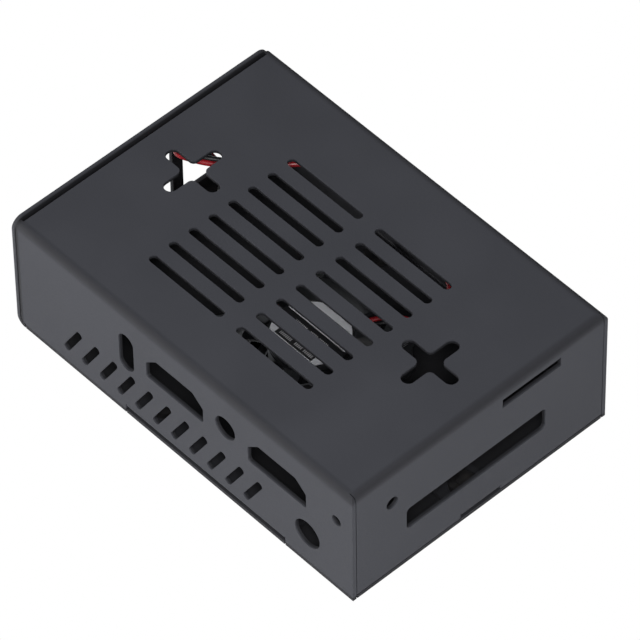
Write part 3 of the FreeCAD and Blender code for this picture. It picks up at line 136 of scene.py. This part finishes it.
class Graph:
    """The nodes of a material or of the world."""

    def __init__(self, owner):
        owner.use_nodes = True
        self.tree = owner.node_tree
        self.tree.nodes.clear()

    def put(self, target, value):
        if isinstance(value, Socket):
            self.tree.links.new(value.output, target)
        else:
            target.default_value = value

    def node(self, kind, sockets, output=0, **settings):
        """A node with its settings, then the values or links of its sockets by name or number."""
        made = self.tree.nodes.new(kind)
        for name, value in settings.items():
            setattr(made, name, value)
        for socket, value in sockets.items():
            self.put(made.inputs[socket], value)
        return Socket(self, made.outputs[output]) if made.outputs else None

    def math(self, operation, *values):
        return self.node("ShaderNodeMath", dict(enumerate(values)), operation=operation)

    def vector(self, operation, *values, output="Vector"):
        return self.node("ShaderNodeVectorMath", dict(enumerate(values)), output, operation=operation)

    def place(self):
        return self.node("ShaderNodeTexCoord", {}, "Object")

    def axes(self):
        """The X, Y and Z of a place on the piece, in metres."""
        place = self.place()
        return [self.node("ShaderNodeSeparateXYZ", {"Vector": place}, axis) for axis in "XYZ"]

    def noise(self, scale, detail=2.0, roughness=0.5):
        return self.node("ShaderNodeTexNoise", {"Vector": self.place(), "Scale": scale, "Detail": detail,
                                                "Roughness": roughness}, "Fac")

    def range(self, value, low, high, out_low=0.0, out_high=1.0):
        """A value between two limits spread over two others, and held at those outside the limits."""
        return self.node("ShaderNodeMapRange", {"Value": value, "From Min": low, "From Max": high,
                                                "To Min": out_low, "To Max": out_high}, "Result", clamp=True)

    def mix(self, factor, first, second):
        return self.node("ShaderNodeMix", {"Factor": factor, "A": first, "B": second}, "Result",
                         data_type="RGBA")

    def bump(self, height, strength, distance):
        return self.node("ShaderNodeBump", {"Height": height, "Strength": strength, "Distance": distance})

    def camera_or_light(self, seen, lighting, output):
        """Ends the graph with one shader for what the camera sees and one for what lights the case."""
        path = self.node("ShaderNodeLightPath", {}, "Is Camera Ray")
        surface = self.node("ShaderNodeMixShader", {"Fac": path, 1: lighting, 2: seen})
        self.node(output, {"Surface": surface})


class Finish(Graph):
    """The nodes of one finish, around one Principled shader."""

    def __init__(self, name):
        self.material = bpy.data.materials.new(name)
        super().__init__(self.material)
        self.shader = self.tree.nodes.new("ShaderNodeBsdfPrincipled")
        output = self.tree.nodes.new("ShaderNodeOutputMaterial")
        self.tree.links.new(self.shader.outputs["BSDF"], output.inputs["Surface"])

    def set(self, **values):
        """Fills the shader's sockets; a name has underscores for its spaces."""
        for name, value in values.items():
            self.put(self.shader.inputs[name.replace("_", " ")], value)
        return self.material


def fold_painted_shade(graph):
    """1 along the three folds of the top face, where shade is painted into the coat as a dark band, and 0
    away from them.

    The distance to a fold is the root of its level and its upright distance, each squared."""
    x, y, z = graph.axes()
    down = graph.math("ABSOLUTE", z - CASE_HIGH.z)
    band = None
    for level in (y - CASE_LOW.y, y - CASE_HIGH.y, x - CASE_HIGH.x):
        off = graph.math("SQRT", level * level + down * down)
        near = 1 - graph.range(off, FOLD_DARK, FOLD_CLEAR)
        band = near if band is None else graph.math("MAXIMUM", band, near)
    return band


def inner_painted_shade(graph):
    """1 on the cut edges and the inside of the sheets, where shade is painted in as a darker coat, and 0
    outside.

    The outside is a box with rounded corners, so the depth is told by how far a place lies out from a core
    that is smaller than the case by the corners' radius."""
    middle = (CASE_LOW + CASE_HIGH) / 2
    core = (CASE_HIGH - CASE_LOW) / 2 - Vector((CORNER_RADIUS, CORNER_RADIUS, CORNER_RADIUS))
    away = graph.vector("ABSOLUTE", graph.vector("SUBTRACT", graph.place(), tuple(middle)))
    over = graph.vector("MAXIMUM", graph.vector("SUBTRACT", away, tuple(core)), (0.0, 0.0, 0.0))
    out = graph.vector("LENGTH", over, output="Value")
    return 1 - graph.range(out, CORNER_RADIUS - INSIDE_FULL, CORNER_RADIUS - INSIDE_FROM)


def sheet_gap_painted_shade(graph):
    """1 on the thin lines of painted shade where the two sheets meet: the plate's rim and beside its port
    end.
    """
    x, _, z = graph.axes()
    x, z = x - CASE_LOW.x, z - CASE_LOW.z
    rim = graph.range(z, *RIM_FOOT) * (1 - graph.range(z, *RIM_TOP))
    beside = graph.range(x, *BESIDE_START) * (1 - graph.range(x, *BESIDE_END))
    return graph.math("MAXIMUM", rim, beside)


def dust(graph):
    """1 on a few specks, which are the middles of cells picked by their random colour, and 0 elsewhere."""
    cells = {"Vector": graph.place(), "Scale": 130.0}
    off = graph.node("ShaderNodeTexVoronoi", cells, "Distance")
    colour = graph.node("ShaderNodeTexVoronoi", cells, "Color")
    pick = graph.node("ShaderNodeSeparateColor", {"Color": colour}, "Red")
    return (1 - graph.range(off, 0.018, 0.034)) * graph.range(pick, 0.94, 0.945)


def powder_coat():
    """Matt black powder coat: a fine orange peel, faint mottling and a few specks of dust, with painted
    shade along the folds, on the inside of the sheets and where the two sheets meet.
    """
    graph = Finish("powder_coat")
    grain = graph.noise(5200.0, detail=3.0, roughness=0.6)
    peel = graph.noise(1500.0, detail=1.0)
    cloud = graph.noise(55.0)
    tone = graph.mix(graph.range(cloud, 0.35, 0.65), linear(45, 46, 51), linear(49, 50, 55))
    tone = graph.mix(graph.range(grain, 0.3, 0.75, 0.0, 0.35), tone, linear(68, 69, 75))
    tone = graph.mix(0.5 * dust(graph), tone, linear(150, 148, 145))
    # painted shade: a dark band along the three folds of the top face
    tone = graph.mix(0.8 * fold_painted_shade(graph), tone, linear(22, 22, 26))
    # painted shade: a darker coat on the cut edges and the inside of the sheets
    tone = graph.mix(0.9 * inner_painted_shade(graph), tone, linear(17, 17, 21))
    # painted shade: thin dark lines in the gaps where the two sheets meet
    tone = graph.mix(0.75 * sheet_gap_painted_shade(graph), tone, linear(12, 12, 15))
    return graph.set(
        Base_Color=tone, Roughness=graph.range(cloud, 0.3, 0.7, 0.7, 0.78), IOR=1.38,
        Normal=graph.bump(0.6 * grain + 0.7 * peel, 0.35, 0.00006))


def mottled(name, shades, roughness, cloud, grain, bump, metallic=0.0, spread=(0.35, 0.65)):
    """Two shades and two roughnesses that drift with a slow noise, over a fine bumpy grain.

    cloud and grain are the scales of the two noises, and bump is the grain's strength and height."""
    graph = Finish(name)
    drift = graph.noise(cloud)
    tone = graph.mix(graph.range(drift, *spread), *(linear(*shade) for shade in shades))
    return graph.set(Base_Color=tone, Roughness=graph.range(drift, 0.3, 0.7, *roughness), Metallic=metallic,
                     Normal=graph.bump(graph.noise(grain), *bump))


def scaled(shade, share, more=0):
    """A shade made lighter or darker by a share, and by a few steps more."""
    return tuple(min(255, value * share + more) for value in shade)


def moulded_plastic(name="moulded_plastic", shade=(24, 25, 28)):
    """Black moulded plastic with a fine spark-eroded grain."""
    return mottled(name, (shade, scaled(shade, 1, 7)), (0.42, 0.52), 140.0, 3800.0, (0.25, 0.00004))


def plated_metal(name, shade, roughness=0.35):
    """Plated or plain metal with faint turning marks."""
    return mottled(name, (shade, scaled(shade, 0.82)), (roughness - 0.05, roughness + 0.08), 300.0, 2600.0,
                   (0.15, 0.00002), metallic=1.0)


def black_screw():
    """Black oxide steel, a little worn."""
    return mottled("black_screw", ((30, 30, 32), (52, 50, 50)), (0.38, 0.5), 420.0, 2200.0, (0.2, 0.00003),
                   metallic=0.6, spread=(0.3, 0.7))


def wire_skin(name, shade):
    """Soft wire insulation with a slight unevenness."""
    return mottled(name, (shade, scaled(shade, 1.18, 3)), (0.36, 0.46), 260.0, 1400.0, (0.15, 0.00004))


def plain(name, shade, roughness):
    """A plain even finish for the fan's small inner pieces."""
    return mottled(name, (shade, scaled(shade, 0.88)), (roughness, roughness + 0.08), 200.0, 2400.0,
                   (0.2, 0.00003))


def circuit_board():
    """Green solder mask with paler tracks in straight lines: a sine of X, cut off low down."""
    graph = Finish("circuit_board")
    x = graph.axes()[0]
    waves = graph.math("SINE", TRACK_WAVES * x)
    tone = graph.mix(graph.range(waves, 0.5, 0.8), linear(24, 74, 50), linear(46, 108, 74))
    return graph.set(Base_Color=tone, Roughness=graph.range(graph.noise(400.0), 0.3, 0.7, 0.28, 0.36))


def fan_label():
    """Silver grey film with a black band across it that carries two rows of small generic marks.

    The marks are cells of equal pitch along X, each with a gap, and a few cells are left out at random."""
    graph = Finish("fan_label")
    low, high = (Vector(corner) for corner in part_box("fan_label"))
    middle = (low + high) / 2
    x, y, _ = graph.axes()
    x, y = x - middle.x, y - middle.y

    def between(value, limits):
        """1 where the value lies between two limits in millimetres, and 0 outside them."""
        return (graph.math("GREATER_THAN", value, limits[0] * MM)
                * graph.math("LESS_THAN", value, limits[1] * MM))

    patch = between(y, LABEL_PATCH_Y) * between(x, LABEL_PATCH_X)
    band = graph.math("MAXIMUM", between(y, LABEL_BAND_Y), patch)
    rows = graph.math("MAXIMUM", between(y, UPPER_ROW_Y) * between(x, UPPER_ROW_X),
                      between(y, LOWER_ROW_Y) * between(x, LOWER_ROW_X))
    cells = x * (1 / MARK_PITCH)
    picked = graph.node("ShaderNodeTexWhiteNoise", {"W": graph.math("FLOOR", cells)}, "Value",
                        noise_dimensions="1D")
    marks = (graph.math("GREATER_THAN", graph.math("FRACT", cells), MARK_GAP)
             * graph.math("GREATER_THAN", picked, MARKS_LEFT_OUT))
    tone = graph.mix(graph.range(graph.noise(600.0), 0.3, 0.7), linear(214, 215, 220), linear(226, 227, 232))
    tone = graph.mix(band, tone, linear(24, 24, 27))
    tone = graph.mix(rows * marks * 0.8, tone, linear(196, 196, 198))
    return graph.set(Base_Color=tone, Roughness=graph.range(graph.noise(900.0), 0.3, 0.7, 0.34, 0.42))


def dress_frame():
    """Puts one finish on each node of the frame."""
    coat = powder_coat()
    plastic = moulded_plastic()
    zinc = plated_metal("zinc_plate", (172, 174, 178))
    steel = plated_metal("bright_steel", (178, 180, 184), 0.28)
    screw = black_screw()
    looks = {
        "top_shell": coat, "bottom_cover": coat, "cover_screws": screw, "press_nuts": screw,
        "fan_screws": screw, "board_standoffs": zinc, "fan_nuts": zinc,
        "fan_frame": plastic, "fan_impeller": plastic,
        "plug_housing": moulded_plastic("plug_plastic", (20, 20, 22)),
        "fan_yoke": steel, "fan_shaft": steel, "fan_stator_core": steel,
        "fan_magnet": plain("bonded_magnet", (44, 44, 47), 0.6),
        "fan_bearing": plated_metal("sintered_bronze", (168, 123, 69), 0.45),
        "fan_retainer": plain("retainer_plastic", (214, 212, 204), 0.45),
        "fan_bobbin": plain("bobbin_plastic", (214, 212, 204), 0.45),
        "fan_windings": plated_metal("copper_wire", (178, 98, 60), 0.32),
        "plug_contacts": plated_metal("contact_brass", (195, 177, 131), 0.3),
        "fan_circuit_board": circuit_board(), "fan_label": fan_label(),
        "fan_lead_red": wire_skin("red_insulation", (134, 22, 30)),
        "fan_lead_black": wire_skin("black_insulation", (22, 22, 24)),
    }
    for node, material in looks.items():
        mesh = bpy.data.objects[node].data
        mesh.materials.clear()
        mesh.materials.append(material)


def put_in_scene(thing):
    bpy.context.scene.collection.objects.link(thing)
    return thing


def make_camera():
    """The camera looks at the target from its azimuth and elevation, then rolls and shifts its aim."""
    az, el, roll = (math.radians(angle) for angle in (AZIMUTH, ELEVATION, ROLL))
    back = Vector((math.sin(az) * math.cos(el), -math.cos(az) * math.cos(el), math.sin(el)))
    level = Vector((math.cos(az), math.sin(az), 0.0))
    upright = back.cross(level)
    right = math.cos(roll) * level + math.sin(roll) * upright
    up = -math.sin(roll) * level + math.cos(roll) * upright
    data = bpy.data.cameras.new("camera")
    data.sensor_width = SENSOR_WIDTH
    data.lens = LENS
    data.clip_start = NEAR_CLIP
    camera = put_in_scene(bpy.data.objects.new("camera", data))
    place = TARGET + back * DISTANCE + right * AIM_RIGHT + up * AIM_UP
    camera.matrix_world = Matrix.Translation(place) @ Matrix((right, up, back)).transposed().to_4x4()
    bpy.context.scene.camera = camera


def make_lamps():
    for name, place, aim, size, watts in LAMPS:
        data = bpy.data.lights.new(name, "AREA")
        data.shape = "RECTANGLE"
        data.size, data.size_y = (side * MM for side in size)
        data.energy = watts
        place, aim = Vector(place) * MM, Vector(aim) * MM
        turn = (place - aim).to_track_quat("Z", "Y").to_matrix().to_4x4()
        put_in_scene(bpy.data.objects.new(name, data)).matrix_world = Matrix.Translation(place) @ turn


def make_world():
    """Plain white for the camera, a softer grey for what lights the case, and light from below its feet.

    Only the opening in the floor under the case lets anything from below through. So the lower part lights
    the underside, and it is black to the camera, as painted shade of the table under the case, where the
    camera looks down through the fan's grille."""
    world = bpy.data.worlds.new("studio")
    graph = Graph(world)
    direction = graph.node("ShaderNodeTexCoord", {}, "Generated")
    height = graph.node("ShaderNodeSeparateXYZ", {"Vector": direction}, "Z")
    above = graph.math("GREATER_THAN", height, LOWER_PART)
    # painted shade: the camera sees black below the case, standing in for the shaded table under it
    seen = graph.node("ShaderNodeBackground", {"Color": WHITE, "Strength": above})
    fill = graph.node("ShaderNodeBackground", {
        "Color": FILL_COLOUR, "Strength": graph.range(above, 0.0, 1.0, FILL_BELOW, FILL_ABOVE)})
    graph.camera_or_light(seen, fill, "ShaderNodeOutputWorld")
    bpy.context.scene.world = world


def make_floor():
    """A white floor for the camera: four quads round an opening, so the case's underside can be seen."""
    low, high = CASE_LOW, CASE_HIGH
    rings = []
    for x0, y0, x1, y1 in ((-FLOOR_REACH, -FLOOR_REACH, FLOOR_REACH, FLOOR_REACH),
                           (low.x + FLOOR_INSET, low.y + FLOOR_INSET,
                            high.x - FLOOR_INSET, high.y - FLOOR_INSET)):
        rings += [(x0, y0, 0), (x1, y0, 0), (x1, y1, 0), (x0, y1, 0)]
    mesh = bpy.data.meshes.new("floor")
    mesh.from_pydata(rings, [], [(i, (i + 1) % 4, 4 + (i + 1) % 4, 4 + i) for i in range(4)])
    floor = put_in_scene(bpy.data.objects.new("floor", mesh))
    material = bpy.data.materials.new("floor_white")
    graph = Graph(material)
    seen = graph.node("ShaderNodeEmission", {"Strength": 1.0})
    matt = graph.node("ShaderNodeBsdfDiffuse", {"Color": FLOOR_GREY})
    graph.camera_or_light(seen, matt, "ShaderNodeOutputMaterial")
    mesh.materials.append(material)


dress_frame()
make_camera()
make_lamps()
make_world()
make_floor()
bpy.context.scene.view_settings.view_transform = "Standard"
